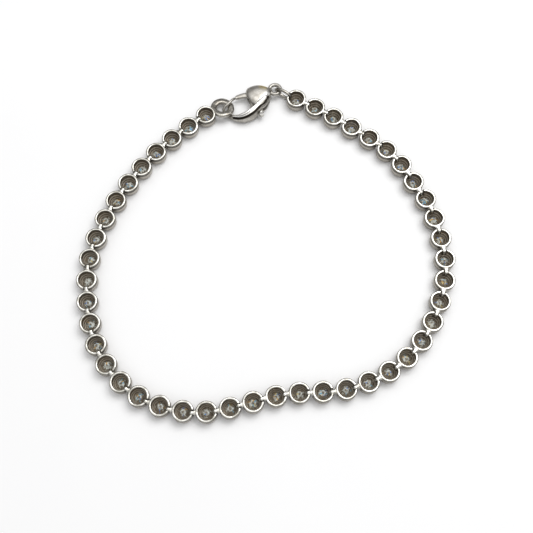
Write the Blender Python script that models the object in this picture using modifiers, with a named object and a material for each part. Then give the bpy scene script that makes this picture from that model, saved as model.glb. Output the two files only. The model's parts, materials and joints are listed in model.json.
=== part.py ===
"""Tennis bracelet of round rub-over cups with a lobster claw clasp.

The bracelet lies closed on a flat surface with the open backs of its cups up.
Units are metres, +Z is up, and the origin is under the middle of the whole part.
"""
import math

import bmesh
import bpy
from mathutils import Matrix, Vector
from mathutils.geometry import interpolate_bezier

MM = 0.001

# Links
CUP_COUNT = 45
PITCH = 3.80 * MM                # from one cup's middle to the next
CUP_RADIUS = 1.78 * MM
CUP_HEIGHT = 2.05 * MM
CUP_SIDES = 10
WALL = 0.42 * MM
FRONT_ROUND = 0.40 * MM          # how far the front edge is rubbed in over the stone
FRONT_RISE = 0.60 * MM           # height of that rubbed edge
FRONT_FLARE = 0.10 * MM          # the front opening is this much wider than the stone
SEAT_HEIGHT = 0.50 * MM          # top of the ledge inside the cup

# Stones
STONE_RADIUS = 0.95 * MM
TABLE_SHARE = 0.57               # table width over stone width
TABLE_HEIGHT = 0.10 * MM         # the table is held this far above the surface
CROWN_HEIGHT = 0.27 * MM
PAVILION_DEPTH = 0.80 * MM

# Joint between two links: a staple round the rim bar of the next cup
STAPLE_WIRE = 0.21 * MM          # radius
CLEARANCE = 0.12 * MM
BAR_HEIGHT = 0.27 * MM
WINDOW_WIDTH = 0.88 * MM
FLARE_WIDTH = 1.08 * MM          # where the staple runs into the rim
FLARE_DEPTH = 0.34 * MM
WIRE_SIDES = 5

# End ring, soldered to the last cup
RING_RADIUS = 2.10 * MM
RING_HOLE = 1.00 * MM            # radius
RING_THICKNESS = 0.66 * MM
RING_BEVEL = 0.15 * MM
RING_BITE = 0.50 * MM            # how far the ring's rim runs into the last cup's wall
RING_LEAN = math.radians(17)     # outward from the line between the end cups
RING_TILT = math.radians(12)     # against the claw, so that the hook can pass through
RING_TILT_HEADING = math.radians(-45)
RING_SIDES = 16

# Lobster claw
CLAW_REACH = 10.20 * MM          # from the tail eye's middle to the nose
CLAW_WIDTH = 5.80 * MM
CLAW_THICKNESS = 2.40 * MM
CLAW_ROLL = math.radians(2)      # the spine lies a little higher than the gate
FLOOR_GAP = 0.02 * MM            # under the claw's lowest point
BODY_SIDES = 10
HOOK_SIDES = 8
SPINE_SQUARENESS = 0.7           # below 1, the corners of the spine's sections are filled out
EYE_RADIUS = 0.95 * MM           # to the middle of its wire
EYE_WIRE = 0.42 * MM             # radius
LEVER_THICKNESS = 0.66 * MM
LEVER_CLEARANCE = 0.12 * MM      # each side, in the slot
LEVER_OPEN = math.radians(32)
PIN_RADIUS = 0.30 * MM
PIN_CLEARANCE = 0.05 * MM
PIN_SEAT = 0.35 * MM             # how far the pin goes into each cheek
HUB_RADIUS = 0.62 * MM
KNOB_RADIUS = 0.42 * MM
KNOB_THICKNESS = 1.30 * MM

# Jump ring between the claw's eye and the first cup
JUMP_LENGTH = 3.26 * MM         # between the middles of its wire
JUMP_WIDTH = 2.06 * MM
JUMP_WIRE = 0.24 * MM            # radius
JUMP_CLEARANCE = 0.10 * MM
JUMP_POINTS = 14

# Distance between the end cups over the clasp's stretched length
CLASP_SHARE = 0.921

SHARP_EDGE = math.radians(35)
WELD = 1e-6                      # corners closer than this are one
CURVE_STEPS = 60                 # points between two of the route's
SCALE_LIMITS = (0.3, 3.0)        # of the route, while its length is fitted
HALVINGS = 50

# The few points that the lying loop was laid through, clockwise from the first cup (mm)
ROUTE = [
    (5.4, 31.6), (20.3, 22.2), (25.7, 15.2), (28.8, 8.8), (30.2, -1.0), (27.1, -10.8),
    (21.4, -17.4), (13.3, -21.2), (2.8, -22.2), (-10.7, -25.0), (-21.1, -22.1),
    (-27.9, -14.0), (-30.2, -1.6), (-27.3, 9.3), (-20.0, 20.4), (-10.1, 28.9),
    (-2.6, 32.3),
]

# Body of the claw, from the tail to the inner face, as shares:
# forward of CLAW_REACH, side and half_width of CLAW_WIDTH, half_depth of CLAW_THICKNESS
BODY_SECTIONS = [
    # forward, side, half_width, half_depth
    (0.080, -0.02, 0.085, 0.21),
    (0.135, -0.03, 0.160, 0.36),
    (0.205, -0.02, 0.275, 0.46),
    (0.295, 0.00, 0.360, 0.51),
    (0.385, -0.01, 0.375, 0.50),
    (0.450, -0.03, 0.340, 0.46),
    (0.500, -0.02, 0.240, 0.38),
]

# Spine, nose and tip of the hook, with the same shares; rise is a share of CLAW_THICKNESS
HOOK_SECTIONS = [
    # forward, side, rise, half_width, half_depth
    (0.145, 0.07, 0.00, 0.085, 0.36),
    (0.240, 0.22, 0.00, 0.125, 0.44),
    (0.350, 0.35, 0.00, 0.135, 0.47),
    (0.440, 0.39, 0.00, 0.105, 0.47),
    (0.580, 0.48, -0.02, 0.135, 0.44),
    (0.705, 0.48, -0.07, 0.130, 0.39),
    (0.800, 0.42, -0.16, 0.110, 0.32),
    (0.875, 0.32, -0.25, 0.086, 0.24),
    (0.940, 0.19, -0.30, 0.064, 0.170),
    (0.990, 0.085, -0.20, 0.050, 0.130),
    (1.010, -0.005, 0.02, 0.044, 0.108),
    (0.972, -0.06, 0.22, 0.042, 0.104),
    (0.880, -0.11, 0.31, 0.042, 0.102),
    (0.785, -0.19, 0.25, 0.042, 0.100),
    (0.733, -0.23, 0.13, 0.042, 0.100),
]

# Lever in the claw's slot, with forward and side as above and half_width of CLAW_WIDTH
LEVER_PIVOT = (0.333, 0.00)
LEVER_PATH = [
    # forward, side, half_width
    (0.692, -0.255, 0.038),
    (0.635, -0.250, 0.055),
    (0.540, -0.215, 0.085),
    (0.333, 0.000, 0.098),
    (0.375, 0.310, 0.072),
    (0.430, 0.610, 0.060),
]

# Where the end ring's middle lies in the claw's frame: forward, side and rise
RING_SEAT = (1.007, -0.102, 0.07)


def clear_scene():
    for item in list(bpy.data.objects):
        bpy.data.objects.remove(item, do_unlink=True)
    for group in list(bpy.data.collections):
        bpy.data.collections.remove(group)


def new_collection(name):
    group = bpy.data.collections.new(name)
    bpy.context.scene.collection.children.link(group)
    return group


def make_material(name, colour, roughness, metallic):
    material = bpy.data.materials.new(name)
    material.use_nodes = True
    shader = material.node_tree.nodes["Principled BSDF"]
    shader.inputs["Base Color"].default_value = (*colour, 1.0)
    shader.inputs["Roughness"].default_value = roughness
    shader.inputs["Metallic"].default_value = metallic
    return material


def make_metal(name, colour, roughness):
    return make_material(name, colour, roughness, 1.0)


def make_stone(name):
    return make_material(name, (0.86, 0.87, 0.88), 0.03, 0.0)


def add_object(name, mesh, group):
    item = bpy.data.objects.new(name, mesh)
    group.objects.link(item)
    return item


def add_tool(name, mesh, group):
    """An object that only cuts, joins or is copied."""
    item = add_object(name, mesh, group)
    item.hide_render = True
    item.display_type = 'WIRE'
    return item


def mesh_from_bmesh(name, shape):
    bmesh.ops.recalc_face_normals(shape, faces=shape.faces)
    mesh = bpy.data.meshes.new(name)
    shape.to_mesh(mesh)
    shape.free()
    return mesh


def evaluated_mesh(item, name):
    bpy.context.view_layer.update()
    ready = item.evaluated_get(bpy.context.evaluated_depsgraph_get())
    mesh = bpy.data.meshes.new_from_object(ready)
    mesh.name = name
    return mesh


def add_boolean(item, tool, operation):
    modifier = item.modifiers.new(tool.name, 'BOOLEAN')
    modifier.operation = operation
    modifier.solver = 'EXACT'
    modifier.object = tool


def polygon_radius(radius, sides):
    """Corner radius of a polygon with the area of a circle of this radius."""
    return radius * math.sqrt(2 * math.pi / (sides * math.sin(2 * math.pi / sides)))


def flat_radius(radius, sides):
    """Distance from the middle of that polygon to its flats."""
    return polygon_radius(radius, sides) * math.cos(math.pi / sides)


def turned(name, profile, sides, group):
    """A closed turned body whose profile runs down its outer side; a flat faces +X."""
    half_side = math.pi / sides
    mesh = bpy.data.meshes.new(name)
    corners = []
    for radius, height in profile:
        corner = polygon_radius(radius, sides)
        corners.append((corner * math.cos(half_side), corner * math.sin(half_side), height))
    edges = [(row, row + 1) for row in range(len(corners) - 1)]
    if profile[0][0] > 0:
        edges.append((len(corners) - 1, 0))
    mesh.from_pydata(corners, edges, [])
    item = add_tool(name, mesh, group)
    screw = item.modifiers.new("turn", 'SCREW')
    screw.axis = 'Z'
    screw.steps = sides
    screw.render_steps = sides
    screw.use_merge_vertices = True
    screw.merge_threshold = WELD
    return item


def box_tool(name, low, high, group):
    shape = bmesh.new()
    bmesh.ops.create_cube(shape, size=1.0)
    size = Vector(high) - Vector(low)
    middle = (Vector(high) + Vector(low)) / 2
    bmesh.ops.scale(shape, vec=size, verts=shape.verts)
    bmesh.ops.translate(shape, vec=middle, verts=shape.verts)
    return add_tool(name, mesh_from_bmesh(name, shape), group)


def hull_tool(name, points, half_depth, group):
    """The convex plate round some points, with its faces at plus and minus half_depth."""
    shape = bmesh.new()
    for x, y in points:
        for z in (-half_depth, half_depth):
            shape.verts.new((x, y, z))
    hull = bmesh.ops.convex_hull(shape, input=shape.verts)
    loose = [part for part in hull["geom_interior"] if isinstance(part, bmesh.types.BMVert)]
    bmesh.ops.delete(shape, geom=loose, context='VERTS')
    return add_tool(name, mesh_from_bmesh(name, shape), group)


def cylinder_tool(name, radius, low, high, sides, group):
    shape = bmesh.new()
    corner = polygon_radius(radius, sides)
    bmesh.ops.create_cone(shape, cap_ends=True, segments=sides, radius1=corner,
                          radius2=corner, depth=high - low)
    bmesh.ops.translate(shape, vec=(0, 0, (high + low) / 2), verts=shape.verts)
    return add_tool(name, mesh_from_bmesh(name, shape), group)


def wire_tool(name, points, radius, closed, group):
    """A six-sided wire through the points, as a mesh."""
    curve = bpy.data.curves.new(name, 'CURVE')
    curve.dimensions = '3D'
    curve.bevel_depth = radius
    curve.bevel_resolution = 1
    curve.use_fill_caps = not closed
    spline = curve.splines.new('POLY')
    spline.points.add(len(points) - 1)
    for row, point in zip(spline.points, points):
        row.co = (*point, 1.0)
    spline.use_cyclic_u = closed
    guide = add_object(name + "_curve", curve, group)
    mesh = evaluated_mesh(guide, name)
    bpy.data.objects.remove(guide, do_unlink=True)
    shape = bmesh.new()
    shape.from_mesh(mesh)
    bmesh.ops.remove_doubles(shape, verts=shape.verts, dist=WELD)
    return add_tool(name, mesh_from_bmesh(name, shape), group)


def loft_tool(name, rings, group):
    """A closed body through rings of the same number of corners."""
    shape = bmesh.new()
    rows = [[shape.verts.new(corner) for corner in ring] for ring in rings]
    count = len(rows[0])
    for lower, upper in zip(rows, rows[1:]):
        for side in range(count):
            after = (side + 1) % count
            shape.faces.new((lower[side], lower[after], upper[after], upper[side]))
    shape.faces.new(rows[0])
    shape.faces.new(rows[-1])
    return add_tool(name, mesh_from_bmesh(name, shape), group)


def oval_ring(middle, across, up, half_width, half_depth, sides, squareness=1.0):
    """Corners of an oval round a middle, in the plane of two directions."""
    ring = []
    for side in range(sides):
        angle = 2 * math.pi * (side + 0.5) / sides
        x, y = math.cos(angle), math.sin(angle)
        ring.append(middle + across * (half_width * math.copysign(abs(x) ** squareness, x))
                    + up * (half_depth * math.copysign(abs(y) ** squareness, y)))
    return ring


def cup_levels():
    """Heights of the window, the bar and the two runs of the staple."""
    upper_run = CUP_HEIGHT - STAPLE_WIRE
    bar_top = upper_run - STAPLE_WIRE - CLEARANCE
    bar_base = bar_top - BAR_HEIGHT
    lower_run = bar_base - CLEARANCE - STAPLE_WIRE
    return {
        "upper_run": upper_run,
        "bar_top": bar_top,
        "bar_base": bar_base,
        "lower_run": lower_run,
        "window_base": lower_run - STAPLE_WIRE - CLEARANCE,
    }


def cup_profile():
    """Cup and stone in one profile, from the culet over the rim to the table."""
    girdle = TABLE_HEIGHT + CROWN_HEIGHT
    culet = girdle + PAVILION_DEPTH
    inner = CUP_RADIUS - WALL
    seat_radius = STONE_RADIUS * (culet - SEAT_HEIGHT) / PAVILION_DEPTH
    return [
        (0.0, culet),
        (seat_radius, SEAT_HEIGHT),
        (inner, SEAT_HEIGHT),
        (inner, CUP_HEIGHT),
        (CUP_RADIUS, CUP_HEIGHT),
        (CUP_RADIUS, FRONT_RISE),
        (CUP_RADIUS - FRONT_ROUND, 0.0),
        (STONE_RADIUS + FRONT_FLARE, 0.0),
        (STONE_RADIUS, girdle),
        (STONE_RADIUS * TABLE_SHARE, TABLE_HEIGHT),
        (0.0, TABLE_HEIGHT),
    ]


def make_staple(group):
    """Flares out of its own cup's rim, goes round the next cup's bar and ends in its own wall."""
    levels = cup_levels()
    upper = levels["upper_run"]
    lower = levels["lower_run"]
    root = CUP_RADIUS - WALL / 2
    neck = PITCH - CUP_RADIUS
    next_inner = PITCH - flat_radius(CUP_RADIUS - WALL, CUP_SIDES)
    end = next_inner + CLEARANCE + STAPLE_WIRE
    bend = STAPLE_WIRE
    path = [
        (root, upper), (neck, upper), (end - bend, upper), (end, upper - bend),
        (end, lower + bend), (end - bend, lower), (root, lower),
    ]
    rings = []
    for row, (x, z) in enumerate(path):
        before = path[max(row - 1, 0)]
        after = path[min(row + 1, len(path) - 1)]
        normal = Vector((before[1] - after[1], 0, after[0] - before[0])).normalized()
        half_width = STAPLE_WIRE
        half_depth = STAPLE_WIRE
        if row == 0:
            half_width = FLARE_WIDTH / 2
            half_depth = FLARE_DEPTH / 2
        rings.append(oval_ring(Vector((x, 0, z)), normal, Vector((0, 1, 0)), half_depth,
                               half_width, WIRE_SIDES))
    return loft_tool("staple", rings, group)


def mark_stone(mesh):
    """Gives the faces inside the girdle the second material."""
    for face in mesh.polygons:
        if face.center.to_2d().length < STONE_RADIUS - FRONT_FLARE:
            face.material_index = 1


def make_link_mesh(name, window_base, outer_end, group):
    """A cup cut for the piece before it, joined with what holds the piece after it."""
    levels = cup_levels()
    cup = turned(name, cup_profile(), CUP_SIDES, group)
    near = -CUP_RADIUS - WALL
    far = -CUP_RADIUS + WALL * 1.5
    half_width = WINDOW_WIDTH / 2
    notch = box_tool(name + "_notch", (near, -half_width, levels["bar_top"]),
                     (far, half_width, CUP_HEIGHT + WALL), group)
    window = box_tool(name + "_window", (near, -half_width, window_base),
                      (far, half_width, levels["bar_base"]), group)
    add_boolean(cup, notch, 'DIFFERENCE')
    add_boolean(cup, window, 'DIFFERENCE')
    add_boolean(cup, outer_end, 'UNION')
    mesh = evaluated_mesh(cup, name)
    mark_stone(mesh)
    return mesh


def ring_profile():
    half = RING_THICKNESS / 2
    return [
        (RING_HOLE + RING_BEVEL, half),
        (RING_RADIUS - RING_BEVEL, half),
        (RING_RADIUS, half - RING_BEVEL),
        (RING_RADIUS, RING_BEVEL - half),
        (RING_RADIUS - RING_BEVEL, -half),
        (RING_HOLE + RING_BEVEL, -half),
        (RING_HOLE, RING_BEVEL - half),
        (RING_HOLE, half - RING_BEVEL),
    ]


def make_end_ring(link_frame, claw_frame, group):
    """The ring lies tipped in the claw's nose and meets the last cup's wall."""
    ring = turned("end_ring", ring_profile(), RING_SIDES, group)
    axis = Vector((math.cos(RING_TILT_HEADING), math.sin(RING_TILT_HEADING), 0))
    seat = Matrix.Translation(claw_point(*RING_SEAT)) @ Matrix.Rotation(RING_TILT, 4, axis)
    ring.matrix_world = link_frame.inverted() @ claw_frame @ seat
    return ring


def claw_point(forward, side, rise=0.0):
    """A place in the claw's frame: +X runs to the nose and the gate is on the -Y side."""
    return Vector((forward * CLAW_REACH, side * CLAW_WIDTH, rise * CLAW_THICKNESS))


def make_claw_body(group):
    """Bulge, hook and tail eye in one solid, slotted for the lever and bored for its pin."""
    rings = []
    for forward, side, half_width, half_depth in BODY_SECTIONS:
        middle = claw_point(forward, side)
        rings.append(oval_ring(middle, Vector((0, 1, 0)), Vector((0, 0, 1)),
                               half_width * CLAW_WIDTH, half_depth * CLAW_THICKNESS, BODY_SIDES))
    body = loft_tool("claw_body_blank", rings, group)

    middles = [claw_point(*row[:3]) for row in HOOK_SECTIONS]
    rings = []
    for row, middle in enumerate(middles):
        before = middles[max(row - 1, 0)]
        after = middles[min(row + 1, len(middles) - 1)]
        across = Vector((before.y - after.y, after.x - before.x, 0)).normalized()
        half_width = HOOK_SECTIONS[row][3] * CLAW_WIDTH
        half_depth = HOOK_SECTIONS[row][4] * CLAW_THICKNESS
        up = (after - before).cross(across).normalized()
        rings.append(oval_ring(middle, across, up, half_width, half_depth, HOOK_SIDES,
                               SPINE_SQUARENESS))
    hook = loft_tool("claw_hook", rings, group)

    eye_ring = [(EYE_RADIUS + EYE_WIRE * math.cos(math.pi / 2 - turn * math.pi / 3),
                 EYE_WIRE * math.sin(math.pi / 2 - turn * math.pi / 3)) for turn in range(6)]
    eye = turned("claw_eye", eye_ring, BODY_SIDES, group)
    add_boolean(body, hook, 'UNION')
    add_boolean(body, eye, 'UNION')
    for tool in slot_tools(group):
        add_boolean(body, tool, 'DIFFERENCE')
    bore_depth = LEVER_THICKNESS / 2 + LEVER_CLEARANCE + PIN_SEAT + PIN_CLEARANCE
    bore = cylinder_tool("claw_bore", PIN_RADIUS + PIN_CLEARANCE, -bore_depth, bore_depth,
                         BODY_SIDES, group)
    bore.location = claw_point(*LEVER_PIVOT)
    add_boolean(body, bore, 'DIFFERENCE')
    return evaluated_mesh(body, "clasp_body")


def slot_tools(group):
    """Plates swept by the lever's hub, gate and trigger, with its side clearance."""
    half_slot = LEVER_THICKNESS / 2 + LEVER_CLEARANCE
    pivot = claw_point(*LEVER_PIVOT)
    hub = cylinder_tool("slot_hub", HUB_RADIUS + LEVER_CLEARANCE, -half_slot, half_slot,
                        BODY_SIDES, group)
    hub.location = pivot
    tools = [hub]
    pivot_row = [row[:2] for row in LEVER_PATH].index(LEVER_PIVOT)
    arms = {"slot_gate": LEVER_PATH[:pivot_row], "slot_trigger": LEVER_PATH[pivot_row + 1:]}
    for name, arm in arms.items():
        points = []
        for share in (0.0, 0.5, 1.0):
            turn = Matrix.Rotation(LEVER_OPEN * share, 3, 'Z')
            for forward, side, half_width in arm + [LEVER_PATH[pivot_row]]:
                middle = claw_point(forward, side)
                spread = half_width * CLAW_WIDTH + LEVER_CLEARANCE
                for x, y in ((-1, -1), (-1, 1), (1, -1), (1, 1)):
                    swept = pivot + turn @ (middle - pivot)
                    points.append(swept.to_2d() + Vector((x, y)) * spread * math.sqrt(0.5))
        tools.append(hull_tool(name, points, half_slot, group))
    return tools


def make_lever(group):
    """Gate, hub and trigger cut from one plate, with a round thumb knob."""
    middles = [claw_point(row[0], row[1]) for row in LEVER_PATH]
    left = []
    right = []
    for row, middle in enumerate(middles):
        run = middles[min(row + 1, len(middles) - 1)] - middles[max(row - 1, 0)]
        across = Vector((-run.y, run.x, 0)).normalized() * LEVER_PATH[row][2] * CLAW_WIDTH
        left.append(middle + across)
        right.append(middle - across)
    outline = left + right[::-1]
    curve = bpy.data.curves.new("lever_outline", 'CURVE')
    curve.dimensions = '2D'
    curve.fill_mode = 'BOTH'
    curve.extrude = LEVER_THICKNESS / 2
    spline = curve.splines.new('POLY')
    spline.points.add(len(outline) - 1)
    for row, point in zip(spline.points, outline):
        row.co = (point.x, point.y, 0, 1)
    spline.use_cyclic_u = True
    guide = add_object("lever_outline", curve, group)
    mesh = evaluated_mesh(guide, "lever_plate")
    bpy.data.objects.remove(guide, do_unlink=True)
    shape = bmesh.new()
    shape.from_mesh(mesh)
    bmesh.ops.remove_doubles(shape, verts=shape.verts, dist=WELD)
    lever = add_tool("lever_plate", mesh_from_bmesh("lever_plate", shape), group)

    half = LEVER_THICKNESS / 2
    hub = cylinder_tool("lever_hub", HUB_RADIUS, -half, half, BODY_SIDES, group)
    hub.location = claw_point(*LEVER_PIVOT)
    bore = cylinder_tool("lever_bore", PIN_RADIUS + PIN_CLEARANCE, -CLAW_THICKNESS,
                         CLAW_THICKNESS, BODY_SIDES, group)
    bore.location = hub.location
    knob = cylinder_tool("lever_knob", KNOB_RADIUS, -KNOB_THICKNESS / 2, KNOB_THICKNESS / 2,
                         BODY_SIDES, group)
    knob.location = middles[-1]
    add_boolean(lever, hub, 'UNION')
    add_boolean(lever, knob, 'UNION')
    add_boolean(lever, bore, 'DIFFERENCE')
    mesh = evaluated_mesh(lever, "clasp_lever")
    mesh.transform(Matrix.Translation(-claw_point(*LEVER_PIVOT)))
    return mesh


def make_jump_ring(group):
    points = []
    for row in range(JUMP_POINTS):
        angle = 2 * math.pi * row / JUMP_POINTS
        points.append((JUMP_LENGTH / 2 * math.cos(angle), 0, JUMP_WIDTH / 2 * math.sin(angle)))
    return wire_tool("jump_ring_wire", points, JUMP_WIRE, True, group).data


def smooth_loop():
    """Points close together along a smooth closed curve through the route's points."""
    knots = [Vector((x * MM, y * MM)) for x, y in ROUTE]
    count = len(knots)
    line = []
    for row in range(count):
        before, start, end, after = (knots[(row + step) % count] for step in (-1, 0, 1, 2))
        handle_out = start + (end - before) / 6
        handle_in = end - (after - start) / 6
        line += interpolate_bezier(start, handle_out, handle_in, end, CURVE_STEPS)[:-1]
    return line


def walk(line, scale, pitch, count):
    """Cup middles a pitch apart along the curve at this scale, from its first point."""
    middles = [line[0] * scale]
    index = 1
    while len(middles) < count:
        last = middles[-1]
        while (line[index % len(line)] * scale - last).length < pitch:
            index += 1
        inside = line[(index - 1) % len(line)] * scale
        outside = line[index % len(line)] * scale
        step = outside - inside
        back = inside - last
        a, b, c = step.dot(step), 2 * step.dot(back), back.dot(back) - pitch * pitch
        share = (-b + math.sqrt(b * b - 4 * a * c)) / (2 * a)
        middles.append(inside + step * share)
    return middles


def lay_cups(gap):
    """Scales the route until the clasp's gap is what is left between the last and first cup."""
    line = smooth_loop()
    low, high = SCALE_LIMITS
    for _ in range(HALVINGS):
        scale = (low + high) / 2
        length = sum((line[row] - line[row - 1]).length for row in range(len(line))) * scale
        if length < PITCH * (CUP_COUNT - 1) + gap * 0.5:
            low = scale
            continue
        middles = walk(line, scale, PITCH, CUP_COUNT)
        if (middles[-1] - middles[0]).length < gap:
            low = scale
        else:
            high = scale
    return walk(line, high, PITCH, CUP_COUNT)


def heading(vector):
    return math.atan2(vector.y, vector.x)


def clasp_corner(ring, first, ring_side, first_side):
    """Where the claw's eye lies, outside the loop, from its distances to ring and first cup."""
    base = first - ring
    along = (base.dot(base) + ring_side ** 2 - first_side ** 2) / (2 * base.length)
    out = math.sqrt(ring_side ** 2 - along ** 2)
    direction = base.normalized()
    return ring + direction * along + Vector((-direction.y, direction.x)) * out


def place(item, parent, location, turn=(0, 0, 0)):
    item.parent = parent
    item.location = location
    item.rotation_euler = turn


def jump_holds():
    """How far from the eye's and the first cup's middle the jump ring's wire lies."""
    eye_side = EYE_RADIUS - EYE_WIRE - JUMP_WIRE - JUMP_CLEARANCE
    cup_side = flat_radius(CUP_RADIUS - WALL, CUP_SIDES) - JUMP_WIRE - JUMP_CLEARANCE
    return eye_side, cup_side


def lay_out(ring_seat):
    """Middles and headings of the cups, and where the end ring and the claw's eye lie."""
    ring_reach = CUP_RADIUS + RING_RADIUS - RING_BITE
    eye_reach = JUMP_LENGTH + sum(jump_holds())
    stretched = ring_reach + ring_seat.length + eye_reach
    middles = lay_cups(stretched * CLASP_SHARE)
    base = (middles[0] - middles[-1]).normalized()
    ring = middles[-1] + Matrix.Rotation(RING_LEAN, 2) @ base * ring_reach
    eye = clasp_corner(ring, middles[0], ring_seat.length, eye_reach)
    stops = [eye] + middles + [ring]
    headings = []
    for before, middle, after in zip(stops, stops[1:], stops[2:]):
        headings.append(heading((middle - before).normalized() + (after - middle).normalized()))
    return middles, headings, ring, eye


def add_links(middles, headings, claw_frame, root, parts, tools):
    last_frame = (Matrix.Translation(middles[-1].to_3d())
                  @ Matrix.Rotation(headings[-1], 4, 'Z'))
    staple = make_staple(tools)
    ring = make_end_ring(last_frame, claw_frame, tools)
    window_base = cup_levels()["window_base"]
    first_base = SEAT_HEIGHT - 2 * CLEARANCE
    middle_mesh = make_link_mesh("link", window_base, staple, tools)
    meshes = [middle_mesh] * CUP_COUNT
    meshes[0] = make_link_mesh("first_link", first_base, staple, tools)
    meshes[-1] = make_link_mesh("last_link", window_base, ring, tools)
    for row, mesh in enumerate(meshes):
        link = add_object("link_%02d" % (row + 1), mesh, parts)
        place(link, root, middles[row].to_3d(), (0, 0, headings[row]))


def add_clasp(claw_mesh, claw_frame, root, parts, tools):
    """Body, lever and pin in a frame of their own, the last two placed on the hinge's axis."""
    claw = bpy.data.objects.new("claw_frame", None)
    parts.objects.link(claw)
    place(claw, root, claw_frame.translation, claw_frame.to_euler())
    pin_half = LEVER_THICKNESS / 2 + LEVER_CLEARANCE + PIN_SEAT
    pin = cylinder_tool("pin_blank", PIN_RADIUS, -pin_half, pin_half, BODY_SIDES, tools)
    pivot = claw_point(*LEVER_PIVOT)
    place(add_object("clasp_body", claw_mesh, parts), claw, (0, 0, 0))
    place(add_object("clasp_lever", make_lever(tools), parts), claw, pivot)
    place(add_object("clasp_rivet", pin.data, parts), claw, pivot)


def add_jump_ring(eye, first, root, parts, tools):
    """The ring stands on edge between the claw's eye and the first cup's bar."""
    levels = cup_levels()
    eye_side, cup_side = jump_holds()
    toward = (first - eye.to_2d()).normalized()
    start = eye + (toward * eye_side).to_3d()
    end = (first - toward * cup_side).to_3d()
    end.z = (levels["bar_top"] + levels["bar_base"]) / 2
    slope = math.asin((end.z - start.z) / (end - start).length)
    jump = add_object("jump_ring", make_jump_ring(tools), parts)
    place(jump, root, (start + end) / 2, (0, -slope, heading(toward)))


def dress(parts):
    """Puts the materials on and shades the round pieces smooth."""
    link_metal = make_metal("link_metal", (0.72, 0.70, 0.66), 0.24)
    clasp_metal = make_metal("clasp_metal", (0.74, 0.71, 0.66), 0.18)
    jump_metal = make_metal("jump_ring_metal", (0.76, 0.74, 0.70), 0.15)
    pin_metal = make_metal("pin_metal", (0.60, 0.59, 0.57), 0.35)
    stone = make_stone("stone")
    own = {"clasp_body": clasp_metal, "clasp_lever": clasp_metal, "clasp_rivet": pin_metal,
           "jump_ring": jump_metal}
    for item in parts.objects:
        if item.type != 'MESH':
            continue
        faces = [face.material_index for face in item.data.polygons]
        item.data.materials.clear()
        item.data.materials.append(own.get(item.name, link_metal))
        if item.name not in own:
            item.data.materials.append(stone)
        item.data.polygons.foreach_set("material_index", faces)
        item.data.shade_smooth()
        item.data.set_sharp_from_angle(angle=SHARP_EDGE)


def centre(root, parts):
    """Moves the whole part so that its box's middle is over the origin."""
    bpy.context.view_layer.update()
    corners = [item.matrix_world @ vertex.co for item in parts.objects if item.type == 'MESH'
               for vertex in item.data.vertices]
    root.location.x = -(min(c.x for c in corners) + max(c.x for c in corners)) / 2
    root.location.y = -(min(c.y for c in corners) + max(c.y for c in corners)) / 2
    bpy.context.view_layer.update()


def main():
    clear_scene()
    parts = new_collection("tennis_bracelet")
    tools = new_collection("cutters")
    roll = Matrix.Rotation(CLAW_ROLL, 4, 'X')
    ring_seat = (roll @ claw_point(*RING_SEAT)).to_2d()
    middles, headings, ring, eye = lay_out(ring_seat)

    claw_mesh = make_claw_body(tools)
    eye_height = FLOOR_GAP - min((roll @ vertex.co).z for vertex in claw_mesh.vertices)
    claw_turn = heading(ring - eye) - heading(ring_seat)
    eye = Vector((*eye, eye_height))
    claw_frame = Matrix.Translation(eye) @ Matrix.Rotation(claw_turn, 4, 'Z') @ roll

    root = bpy.data.objects.new("bracelet_root", None)
    parts.objects.link(root)
    add_links(middles, headings, claw_frame, root, parts, tools)
    add_clasp(claw_mesh, claw_frame, root, parts, tools)
    add_jump_ring(eye, middles[0], root, parts, tools)
    dress(parts)
    centre(root, parts)


main()
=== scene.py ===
"""Looks of the tennis bracelet: its rub-over cups, stones, end ring, jump ring and lobster claw.

Metres, +Z up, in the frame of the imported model. Tables and local sizes are in millimetres.
"""
import json
import math
import random

import bmesh
import bpy
from mathutils import Matrix, Vector, noise
from mathutils.kdtree import KDTree


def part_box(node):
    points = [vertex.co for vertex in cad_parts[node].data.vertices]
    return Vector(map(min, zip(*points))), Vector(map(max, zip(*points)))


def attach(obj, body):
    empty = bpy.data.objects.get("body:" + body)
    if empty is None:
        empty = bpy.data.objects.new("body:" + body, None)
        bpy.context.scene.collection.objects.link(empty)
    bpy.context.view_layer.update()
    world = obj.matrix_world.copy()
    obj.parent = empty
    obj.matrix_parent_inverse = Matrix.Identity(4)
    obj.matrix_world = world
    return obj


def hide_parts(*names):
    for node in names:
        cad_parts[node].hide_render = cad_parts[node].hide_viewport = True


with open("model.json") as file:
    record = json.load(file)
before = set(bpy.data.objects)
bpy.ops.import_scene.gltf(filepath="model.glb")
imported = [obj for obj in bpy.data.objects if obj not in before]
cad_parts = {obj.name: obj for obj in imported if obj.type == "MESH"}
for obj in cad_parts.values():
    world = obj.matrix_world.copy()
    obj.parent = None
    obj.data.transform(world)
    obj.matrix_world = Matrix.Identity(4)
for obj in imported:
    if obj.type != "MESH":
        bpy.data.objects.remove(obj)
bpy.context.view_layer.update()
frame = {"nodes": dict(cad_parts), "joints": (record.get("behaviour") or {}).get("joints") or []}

MM = 0.001
SEED = 7                           # for the facets' draws and the dents' noise

# Camera, at the photograph's angle to the surface
CAMERA_DISTANCE = 140.0
CAMERA_ELEVATION = math.radians(71.3)
CAMERA_LENS = 55.27
LOOK_AT = (-0.021, -4.10, 0.0)

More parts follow.
